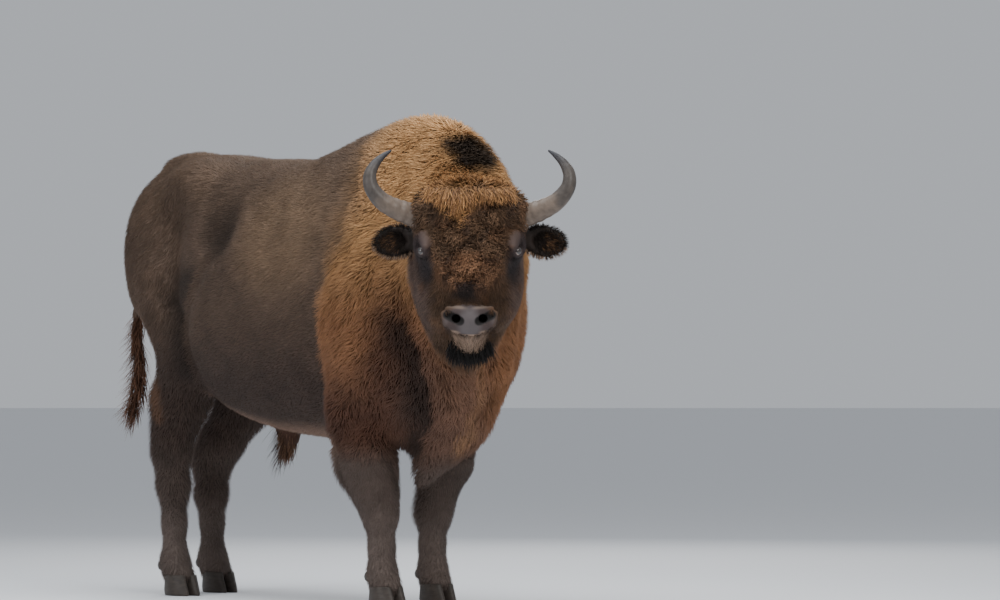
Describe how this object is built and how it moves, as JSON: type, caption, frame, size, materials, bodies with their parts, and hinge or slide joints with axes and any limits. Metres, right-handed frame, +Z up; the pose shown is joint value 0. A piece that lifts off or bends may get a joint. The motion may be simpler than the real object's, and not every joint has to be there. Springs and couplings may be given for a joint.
{
  "type": "bison",
  "caption": "Life-size still model of a European bison bull in winter coat, standing on level ground with its head turned to look to its right.",
  "frame": {"origin": "on the floor, under the middle of the whole animal's box", "axes": "+X the way the body faces, from tail to brow; +Y the animal's left; +Z up"},
  "size_m": [2.6208, 0.965, 1.7923],
  "materials": {
    "face_coat": "short curly brown hair",
    "mane_coat": "long shaggy golden to rust brown hair",
    "body_coat": "dense short dark brown hair",
    "leg_coat": "short dark grey-brown hair",
    "dark_hair": "long dark hair of the tail, ears and belly",
    "bare_skin": "bare grey skin of the nose, lips and eyelids",
    "horn": "ringed grey horn, darker to the tip, satin",
    "hoof": "dark worn hoof",
    "eye": "wet dark brown"
  },
  "bodies": {
    "root": {"head": "face_coat", "lower_jaw": "face_coat", "neck": "mane_coat", "forequarters": "mane_coat", "barrel": "body_coat", "croup": "body_coat", "chest_tuft": "mane_coat", "foreleg_right": "leg_coat", "thigh_right": "body_coat", "hind_leg_right": "leg_coat", "hoof_fore_right_inner": "hoof", "dewclaw_fore_right_inner": "hoof", "hoof_fore_right_outer": "hoof", "dewclaw_fore_right_outer": "hoof", "hoof_hind_right_inner": "hoof", "dewclaw_hind_right_inner": "hoof", "hoof_hind_right_outer": "hoof", "dewclaw_hind_right_outer": "hoof", "horn_right": "horn", "ear_right": "dark_hair", "eye_right": "eye", "foreleg_left": "leg_coat", "thigh_left": "body_coat", "hind_leg_left": "leg_coat", "hoof_fore_left_inner": "hoof", "dewclaw_fore_left_inner": "hoof", "hoof_fore_left_outer": "hoof", "dewclaw_fore_left_outer": "hoof", "hoof_hind_left_inner": "hoof", "dewclaw_hind_left_inner": "hoof", "hoof_hind_left_outer": "hoof", "dewclaw_hind_left_outer": "hoof", "horn_left": "horn", "ear_left": "dark_hair", "eye_left": "eye", "sheath_tuft": "dark_hair", "tail": "body_coat", "tail_tuft": "dark_hair"}
  },
  "joints": []
}
